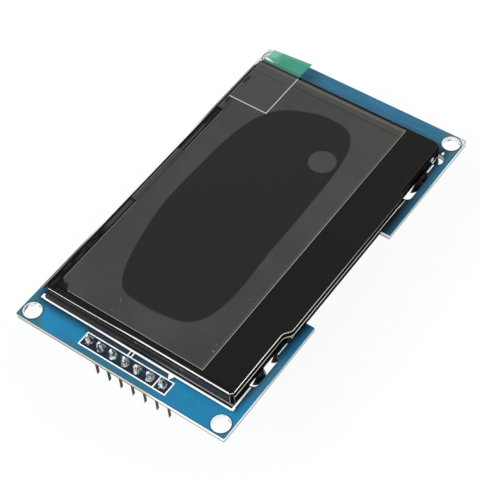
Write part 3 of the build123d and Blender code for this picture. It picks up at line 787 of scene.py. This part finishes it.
def clingPatch(f):  # 1 where the film clings, apart from the bubble
    across = (f.x - film["patchMiddle"][0]) / film["patchHalf"][0]
    along = (f.y - film["patchMiddle"][1]) / film["patchHalf"][1]
    angle = along.angleTo(across)
    radius = (across ** 2 + along ** 2) ** 0.5
    rim = film["patchRadius"]
    for turn, (cosPart, sinPart) in enumerate(film["patchWaves"], start=1):
        rim = rim + (angle * turn + math.atan2(cosPart, sinPart)).sine() * math.hypot(cosPart, sinPart)
    cling = 1 - f.fade(radius - rim, -film["clingEdge"], film["clingEdge"])
    bubbleX, bubbleY, bubbleR = film["bubble"]
    soft = film["bubbleSoft"]
    return cling * f.fade(f.away(bubbleX, bubbleY), bubbleR - soft, bubbleR + soft)


def veilReflectionColour(f):
    turn, slope = film["veilTurn"]
    # the grey veil is a painted reflection
    veilReflection = f.tint(f.fade(f.x - f.y * slope, *turn), film["veilReflection"], film["veilCool"])
    veilReflection = f.coat(veilReflection, f.fade(f.grain(0.1, 3), *film["veilLightSpan"]), film["veilLight"])
    for band, paint in film["endStripes"]:
        veilReflection = f.coat(veilReflection, f.within(f.x, *band), paint)
    fromCorner = f.fade(f.away(*film["farCornerPlace"]), *film["farCornerReach"])
    veilReflection = f.coat(veilReflection, 1 - fromCorner, film["farCorner"])
    # painted shade beside the raised far edge
    for foldX, foldY, paint in film["folds"]:
        veilReflection = f.coat(veilReflection, f.within(f.y, *foldY) * f.within(f.x, *foldX), paint)
    inset, end, soft = film["nearLineInset"]
    nearLine = f.within(f.y, film["low"][1] + inset, film["low"][1] + end, soft)
    return f.coat(veilReflection, nearLine, film["nearLine"])


def filmMaterial():
    f = Finish("protective_film")
    colour = f.tint(clingPatch(f), veilReflectionColour(f), film["cling"])
    for x, y, size in film["specks"]:
        colour = f.coat(colour, 1 - f.fade(f.away(x, y), size, size * 2), film["speck"])
    raggedX, raggedY = film["nickRagged"]
    nick = f.within(f.x + f.grain(2.0, 2) * raggedX, *film["nickX"])
    nick = nick * f.fade(f.y + f.grain(1.5, 2) * raggedY, *film["nickY"])
    colour = f.tint(nick, colour, film["nick"])
    fadeX, fades = film["brightFades"]
    bright = (1 - f.fade(f.y, *film["brightY"])) * (1 - f.fade(f.x, *fadeX) * fades)
    headerX, headerShare = film["headerLine"]
    bright = bright.higher((1 - f.fade(f.x, *headerX)) * headerShare)
    lineColour = f.tint(bright, film["lineDim"], film["line"])
    colour = f.coat(colour, filmLine(f), (lineColour, film["lineCover"]))
    lowX, highY = film["low"][0], film["high"][1]
    tornX, tornY = film["tornCorner"]
    run, rise = tornX - lowX, highY - tornY
    torn = ((f.y - tornY) * run - (f.x - lowX) * rise) / math.hypot(run, rise)
    ragged = torn + (f.grain(0.9, 3, 0.6) - 0.5) * film["tornRagged"]
    inCorner = f.fade(ragged, *film["tornEdge"]) * f.fade(torn, *film["tornSpan"])
    return f.close(
        Base_Color=f.tint(inCorner, colour, film["torn"]),
        Roughness=0.18 + f.grain(0.2, 2) * 0.06,
        Specular_IOR_Level=0.18,
        Normal=f.bump(f.grain(0.1, 2), 0.02),
    )


def polarizerMaterial():
    f = Finish("polarizer")
    cloud = f.grain(0.6, 3)
    corner = (1 - f.fade(f.x, *film["polarizerCornerX"])) * f.fade(f.y, *film["polarizerCornerY"])
    return f.close(
        dull=corner * film["polarizerDull"],
        Base_Color=f.tint(cloud, film["polarizer"], film["polarizerLight"]),
        Roughness=0.2 + cloud * 0.1,
        Specular_IOR_Level=0.2,
        Normal=f.bump(cloud, 0.02),
    )


dress(filmMaterial(), "protective_film")
dress(polarizerMaterial(), "polarizer")

# Clear tape on the film's corner and the green tab under its end
tape = {
    "low": (20.2, 10.45),
    "line": seen(205, 205, 200),
    "lineWidth": (0.1, 0.16),
    "body": seen(58, 60, 57),
    "bodyLight": seen(66, 68, 65),
    "stripes": (
        ("x", (27.85, 28.05, 0.1), (seen(44, 44, 42), 0.5)),
        ("y", (17.5, 17.7, 0.08), (seen(40, 40, 38), 0.35)),
        ("x", (28.3, 29.3, 0.2), (seen(66, 78, 66), 0.2)),
        ("x", (29.7, 30.15, 0.08), (seen(98, 92, 90), 0.5)),
    ),
    "nick": seen(26, 26, 24),
    "nickX": (24.6, 26.6, 0.12),
    "nickY": (18.35, 18.45),
    "nickRagged": 0.7,
    # past the film's end the tape crosses bare glass, then the tab
    "filmEnd": 30.3,
    "glassSpan": (0.02, 0.12),
    "overGlass": seen(14, 20, 18),
    "tabSpan": (0.3, 0.6),
    "overTab": seen(60, 118, 98),
    # the tab, paler over the corner hole, with a lifted end
    "green": seen(44, 136, 112),
    "greenLight": seen(72, 160, 136),
    "greenPale": (seen(126, 206, 182), 0.7),
    "palePlace": (34.0, 18.6),
    "paleReach": (1.2, 2.8),
    "liftedEnd": seen(236, 246, 242),
    "liftedPlace": (31.2, 15.9),
    "liftedSlope": 0.28,
    "liftedEdge": 0.06,
    "liftedX": (31.1, 31.2),
}


def clearTapeMaterial():
    f = Finish("clear_tape")
    lowX, lowY = tape["low"]
    inner, outer = tape["lineWidth"]
    line = 1 - f.fade(f.x, lowX + inner, lowX + outer)
    line = line.higher(1 - f.fade(f.y, lowY + inner, lowY + outer))
    cloud = f.grain(0.25, 3)
    body = f.tint(cloud, tape["body"], tape["bodyLight"])
    along = {"x": f.x, "y": f.y}
    for axis, band, paint in tape["stripes"]:
        body = f.coat(body, f.within(along[axis], *band), paint)
    ragged = f.grain(1.6, 3, 0.6) * tape["nickRagged"]
    nick = f.within(f.x + ragged, *tape["nickX"]) * f.fade(f.y + ragged, *tape["nickY"])
    body = f.tint(nick, body, tape["nick"])
    overGlass, overTab = [
        f.fade(f.x, tape["filmEnd"] + start, tape["filmEnd"] + end)
        for start, end in (tape["glassSpan"], tape["tabSpan"])
    ]
    body = f.tint(overGlass, body, tape["overGlass"])
    body = f.tint(overTab, body, tape["overTab"])
    return f.close(
        Base_Color=f.tint(line * (1 - overGlass), body, tape["line"]),
        Roughness=0.2 + cloud * 0.1,
        Specular_IOR_Level=0.2,
        Normal=f.bump(cloud, 0.05),
    )


def tabMaterial():
    f = Finish("green_tab")
    cloud = f.grain(0.22, 2)
    green = f.tint(cloud, tape["green"], tape["greenLight"])
    green = f.coat(green, 1 - f.fade(f.away(*tape["palePlace"]), *tape["paleReach"]), tape["greenPale"])
    liftX, liftY = tape["liftedPlace"]
    past = (f.y - liftY) * tape["liftedSlope"] - (f.x - liftX)
    lifted = f.fade(past, -tape["liftedEdge"], tape["liftedEdge"]) * f.fade(f.x, *tape["liftedX"])
    return f.close(
        Base_Color=f.tint(lifted, green, tape["liftedEnd"]),
        Roughness=0.3 + cloud * 0.1,
        Specular_IOR_Level=0.3,
        Alpha=0.78,
        Normal=f.bump(cloud, 0.1),
    )


dress(clearTapeMaterial(), "clear_tape")
dress(tabMaterial(), "pull_tab")
print("film and tape dressed")

# Black cover tape: a painted highlight along its fold and another along its lower edge, which glows
# faintly
cover = {
    "black": seen(5, 5, 3),
    "ends": (-30.0, 30.0),
    # how bright each painted highlight is, by the share of the way along the cover
    "stops": (0.0, 0.1, 0.2, 0.27, 0.45, 0.57, 0.65, 0.76, 0.79),
    "foldTones": (255, 255, 240, 195, 175, 130, 105, 75, 40),
    "foldTint": (1, 1, 0.98),
    "foldTurned": (0.17, 0.78, 0.05),
    "lowerTones": (240, 235, 150, 240, 200, 195, 190, 250, 5),
    "lowerTint": (1, 0.98, 0.94),
    "lowerZ": (2.66, 2.87, 0.02),
    "lowerTurned": (0.3, 0.5),
    "lowerGlow": 0.3,
    "dullTurned": (0.1, 0.2),
}


def lineColour(f, tones, tint):
    start, end = cover["ends"]
    stops = [(at, seen(*[tone * part for part in tint])) for at, tone in zip(cover["stops"], tones)]
    return f.ramp((f.x - start) / (end - start), *stops)


def coverMaterial():
    f = Finish("cover_tape")
    foldColour = lineColour(f, cover["foldTones"], cover["foldTint"])
    lowerColour = lineColour(f, cover["lowerTones"], cover["lowerTint"])
    # painted highlights: mirror-like along the fold, glowing along the lower edge
    fold = f.within(f.nz, *cover["foldTurned"])
    lower = f.within(f.z, *cover["lowerZ"]) * (1 - f.fade(abs(f.nz), *cover["lowerTurned"]))
    colour = f.tint(fold, cover["black"], foldColour)
    return f.close(
        dull=(1 - f.fade(abs(f.nz), *cover["dullTurned"])) * (1 - lower),
        Base_Color=f.tint(lower, colour, lowerColour),
        Metallic=fold,
        Emission_Color=f.tint(lower, (0.0, 0.0, 0.0), lowerColour),
        Emission_Strength=cover["lowerGlow"],
        Roughness=0.14 + f.grain(0.3, 3) * 0.1,
        Specular_IOR_Level=0.16,
        Normal=f.bump(f.grain(0.5, 3), 0.03),
    )


# Flex cable: copper lanes under amber film on the back, dark where the face side shows
flex = {
    "lanePitch": 0.8,
    "laneSpan": (-0.2, 0.2),
    "amber": (seen(120, 62, 22), seen(158, 92, 38)),
    "dark": (seen(20, 15, 12), seen(34, 27, 21)),
    "backZ": (0.2, 0.9),
    "backTurned": (0.3, 0.7),
    "dullZ": (0.3, 1.0),
    "dullShare": 0.7,
}


def flexMaterial():
    f = Finish("flex_cable")
    lanes = f.fade((f.x * (2 * math.pi / flex["lanePitch"])).sine(), *flex["laneSpan"])
    back = 1 - f.fade(f.z, *flex["backZ"])
    amber = f.tint(lanes, *flex["amber"])
    dark = f.tint(lanes, *flex["dark"])
    return f.close(
        dull=f.fade(f.z, *flex["dullZ"]) * flex["dullShare"],
        Base_Color=f.tint(back * f.fade(-f.nz, *flex["backTurned"]), dark, amber),
        Roughness=0.55 + lanes * 0.1,
        Specular_IOR_Level=0.05,
        Normal=f.bump(lanes, 0.2),
    )


# Glue dabs: glossy black with patches of painted brownish sheen
glue = {"black": seen(10, 9, 8), "sheen": seen(70, 62, 48), "sheenSpan": (0.58, 0.72)}


def glueMaterial():
    f = Finish("black_glue")
    cloud = f.grain(1.2, 3)
    return f.close(
        # painted brownish sheen in patches
        Base_Color=f.tint(f.fade(cloud, *glue["sheenSpan"]), glue["black"], glue["sheen"]),
        Roughness=0.2 + cloud * 0.15,
        Specular_IOR_Level=0.3,
        Normal=f.bump(cloud, 0.6, 0.2),
    )


dress(coverMaterial(), "ledge_cover")
dress(flexMaterial(), "flex_cable")
dress(glueMaterial(), "glue")
print("cover, flex and glue dressed")

# Header: black housing, square pins, and solder lumps that replace the plain joints
header = {
    "housing": seen(24, 24, 25),
    "housingWorn": seen(34, 34, 36),
    # pins are painted light on the faces towards the header end and painted shade on the faces towards
    # the flex, and tinned in the solder
    "gold": seen(206, 186, 138),
    "goldLight": seen(232, 216, 176),
    "goldSpan": (0.35, 0.7),
    "pinLitFace": seen(255, 255, 255),
    "pinShadedFace": seen(36, 30, 22),
    "pinTinned": seen(214, 217, 216),
    "pinTurned": (0.4, 0.6),
    "pinTinnedZ": (0.9, 1.0),
    # the solder's colours, set by noise, run from painted shade in its crevices to painted highlights
    # on its flanks
    "solder": (
        (0.34, seen(26, 30, 33)),
        (0.42, seen(110, 118, 120)),
        (0.5, seen(206, 210, 210)),
        (0.6, seen(252, 252, 250)),
    ),
    # the row of lumps
    "x": -34.0,
    "pitch": 2.54,
    "count": 7,
    "bottom": 1.0,
    "top": 2.85,
    "sides": 30,
    "rings": 16,
    # radius by the share of the height, then what makes each lump its own
    "profile": (
        (0.0, 0.92), (0.1, 0.85), (0.25, 0.72), (0.45, 0.58),
        (0.65, 0.5), (0.82, 0.4), (0.94, 0.26), (1.0, 0.1),
    ),
    "lean": (-0.12, 0.16),
    "narrow": 0.84,
    "bulge": 0.42,
    "bulgeAtFoot": 0.2,
    "bulgeRise": 1.6,
    "bulgeScale": 1.4,
    "bulgeShift": 7.3,
    "flute": 0.09,
    "flutes": 4,
    "fluteShift": 2.1,
}


def housingMaterial():
    f = Finish("header_housing")
    return f.close(
        Base_Color=f.tint(f.grain(1.5, 3), header["housing"], header["housingWorn"]),
        Roughness=0.5 + f.grain(4.0, 2) * 0.2,
        Specular_IOR_Level=0.4,
        Normal=f.bump(f.grain(8.0, 2), 0.2),
    )


def pinMaterial():
    f = Finish("pin_metal")
    streak = f.grain(1.2, 3, 0.6, (3, 3, 0.4))
    colour = f.tint(f.fade(streak, *header["goldSpan"]), header["gold"], header["goldLight"])
    # painted light and painted shade on the pins' faces
    colour = f.tint(f.fade(-f.nx, *header["pinTurned"]), colour, header["pinLitFace"])
    colour = f.tint(f.fade(-f.ny, *header["pinTurned"]), colour, header["pinShadedFace"])
    colour = f.tint(f.fade(f.z, *header["pinTinnedZ"]), colour, header["pinTinned"])
    return f.close(
        Base_Color=colour,
        Metallic=1.0,
        Roughness=0.25 + streak * 0.2,
        Normal=f.bump(streak, 0.2),
    )


def solderMaterial():
    f = Finish("solder")
    return f.close(
        # painted shade and painted highlights by noise
        Base_Color=f.ramp(f.grain(2.3, 2, 0.55, (1, 1, 0.5)), *header["solder"]),
        Metallic=0.9,
        Roughness=0.18 + f.grain(3.0, 2) * 0.2,
        Normal=f.bump(f.grain(2.4, 2), 0.6, 0.2),
    )


def profileAt(share):
    for (startShare, startSize), (endShare, endSize) in zip(header["profile"], header["profile"][1:]):
        if share <= endShare:
            part = (share - startShare) / (endShare - startShare)
            return startSize + (endSize - startSize) * part
    return header["profile"][-1][1]


def lumpPlace(index, share, turn):  # a place on the surface of one lump, in mm
    direction = Vector((math.cos(turn), math.sin(turn), share * header["bulgeRise"]))
    shift = Vector((index * header["bulgeShift"], 0, 0))
    bulge = noise.noise(direction * header["bulgeScale"] + shift) * header["bulge"]
    bulge = bulge * (header["bulgeAtFoot"] + share)
    wave = math.sin(header["flutes"] * turn + index * header["fluteShift"] + share)
    flute = header["flute"] * wave * math.sin(math.pi * share)
    reach = profileAt(share) * (1 + bulge + flute)
    leanX, leanY = header["lean"]
    middleY = header["pitch"] * (index - (header["count"] - 1) / 2)
    return (
        header["x"] + leanX * share + reach * math.cos(turn),
        middleY + leanY * share + reach * math.sin(turn) * header["narrow"],
        header["bottom"] + (header["top"] - header["bottom"]) * share,
    )


def solderLumps():
    made = bmesh.new()
    sides = header["sides"]
    for index in range(header["count"]):
        rings = []
        for level in range(header["rings"] + 1):
            share = level / header["rings"]
            places = [lumpPlace(index, share, 2 * math.pi * side / sides) for side in range(sides)]
            rings.append([made.verts.new([v * mm for v in place]) for place in places])
        for lower, upper in zip(rings, rings[1:]):
            for side in range(sides):
                after = (side + 1) % sides
                made.faces.new((lower[side], lower[after], upper[after], upper[side]))
        made.faces.new(rings[-1])
        made.faces.new(list(reversed(rings[0])))
    mesh = bpy.data.meshes.new("solder_lumps")
    made.to_mesh(mesh)
    made.free()
    for face in mesh.polygons:
        face.use_smooth = True
    lumps = bpy.data.objects.new("solder_lumps", mesh)
    bpy.context.collection.objects.link(lumps)
    mesh.materials.append(solderMaterial())
    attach(lumps, "root")
    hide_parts("header_solder")


dress(housingMaterial(), "header_housing")
dress(pinMaterial(), "header_pins")
solderLumps()
print("header made")

# Small parts on the back. Above the leads' height a package shows its tinned feet
small = {
    "leads": -0.13,
    "noLeads": 5.0,
    "leadSoft": 0.02,
    "tinned": seen(210, 213, 216),
    "mould": (seen(26, 26, 27), seen(38, 38, 39)),
    "ferrite": (seen(26, 26, 27), seen(50, 50, 52)),
    "ceramic": (seen(150, 118, 84), seen(172, 140, 104)),
    "silicon": (seen(70, 74, 82), seen(92, 96, 104)),
}


def packageMaterial(name, tones, leadLevel):  # tones: the body's dark and light colour
    f = Finish(name)
    cloud = f.grain(2.0, 3)
    lead = f.fade(f.z, leadLevel - small["leadSoft"], leadLevel)
    return f.close(
        Base_Color=f.tint(lead, f.tint(cloud, *tones), small["tinned"]),
        Metallic=lead,
        Roughness=0.5 - lead * 0.2 + cloud * 0.1,
        Specular_IOR_Level=0.4,
        Normal=f.bump(f.grain(7.0, 2), 0.25),
    )


moulded = packageMaterial("moulded_package", small["mould"], small["leads"])
dress(moulded, "voltage_booster", "regulator", "rectifier_diode")
dress(packageMaterial("ferrite", small["ferrite"], small["noLeads"]), "inductor")
dress(packageMaterial("ceramic", small["ceramic"], small["noLeads"]), "ceramic_capacitors")
dress(packageMaterial("resistor", small["mould"], small["noLeads"]), "chip_resistors")
dress(packageMaterial("silicon", small["silicon"], small["noLeads"]), "driver_chip")
print("back parts dressed")

# Stage: a white floor that keeps a soft faint shadow, an even world and two soft suns
stage = {
    "floorLevel": -16.0,
    "floorHalf": 0.6,
    "floor": (0.95, 0.95, 0.95),
    "glow": 0.92,
    "ambient": (0.72, 0.72, 0.72, 1),
    "backdrop": (1, 1, 1, 1),
    "backdropRays": ("Is Camera Ray", "Is Glossy Ray", "Is Transmission Ray"),
    # each sun's name, direction, strength and angle
    "suns": (
        ("key_light", (-0.62, 0.25, 0.74), 1.5, 30),
        ("edge_light", (0.35, -0.75, 0.55), 0.5, 40),
    ),
}


def floorMaterial():
    f = Finish("floor_paper")
    rays = [f.node("ShaderNodeLightPath", {}, {}, kind) for kind in stage["backdropRays"]]
    share = (rays[0] * stage["glow"]).higher(rays[1]).higher(rays[2])
    paper = f.node("ShaderNodeBsdfDiffuse", {}, {"Color": stage["floor"]})
    glow = f.node("ShaderNodeEmission", {}, {"Color": (1, 1, 1), "Strength": 1.0})
    mixed = f.node("ShaderNodeMixShader", {}, {0: share, 1: paper, 2: glow})
    f.node("ShaderNodeOutputMaterial", {}, {"Surface": mixed})
    return f.material


def makeFloor():
    half = stage["floorHalf"]
    corners = [(-half, -half, 0), (half, -half, 0), (half, half, 0), (-half, half, 0)]
    mesh = bpy.data.meshes.new("floor")
    mesh.from_pydata(corners, [], [(0, 1, 2, 3)])
    floor = bpy.data.objects.new("floor", mesh)
    floor.location = (0, 0, stage["floorLevel"] * mm)
    bpy.context.collection.objects.link(floor)
    mesh.materials.append(floorMaterial())


def makeWorld():
    world = bpy.data.worlds.new("studio")
    bpy.context.scene.world = world
    world.use_nodes = True
    tree = world.node_tree
    tree.nodes.clear()
    path = tree.nodes.new("ShaderNodeLightPath")
    first, *others = stage["backdropRays"]
    share = path.outputs[first]
    for kind in others:
        either = tree.nodes.new("ShaderNodeMath")
        either.operation = "MAXIMUM"
        tree.links.new(share, either.inputs[0])
        tree.links.new(path.outputs[kind], either.inputs[1])
        share = either.outputs[0]
    mix = tree.nodes.new("ShaderNodeMix")
    mix.data_type = "RGBA"
    mix.inputs[6].default_value = stage["ambient"]
    mix.inputs[7].default_value = stage["backdrop"]
    tree.links.new(share, mix.inputs[0])
    background = tree.nodes.new("ShaderNodeBackground")
    tree.links.new(mix.outputs[2], background.inputs["Color"])
    output = tree.nodes.new("ShaderNodeOutputWorld")
    tree.links.new(background.outputs[0], output.inputs["Surface"])


def makeSun(name, toward, strength, angle):
    lamp = bpy.data.lights.new(name, "SUN")
    lamp.energy = strength
    lamp.angle = math.radians(angle)
    holder = bpy.data.objects.new(name, lamp)
    holder.rotation_euler = Vector(toward).to_track_quat("Z", "Y").to_euler()
    bpy.context.collection.objects.link(holder)


makeFloor()
makeWorld()
for sun in stage["suns"]:
    makeSun(*sun)
print("stage made")

# Camera, placed from the photograph's pin pitch and hole pattern. Its clip distances are metres
view = {
    "place": (-122.18, -101.66, 201.75),
    "right": (0.5857, -0.8082, -0.0603),
    "up": (0.6625, 0.4346, 0.6100),
    "back": (-0.4669, -0.3972, 0.7901),
    "lens": 111.77,
    "sensor": 36.0,
    "clip": (0.01, 10),
}


def makeCamera():
    lens = bpy.data.cameras.new("camera")
    lens.lens = view["lens"]
    lens.sensor_width = view["sensor"]
    lens.clip_start, lens.clip_end = view["clip"]
    camera = bpy.data.objects.new("camera", lens)
    turn = Matrix((view["right"], view["up"], view["back"])).transposed()
    camera.matrix_world = Matrix.Translation(Vector(view["place"]) * mm) @ turn.to_4x4()
    bpy.context.collection.objects.link(camera)
    bpy.context.scene.camera = camera
    bpy.context.scene.view_settings.view_transform = "Standard"


makeCamera()
print("camera set")
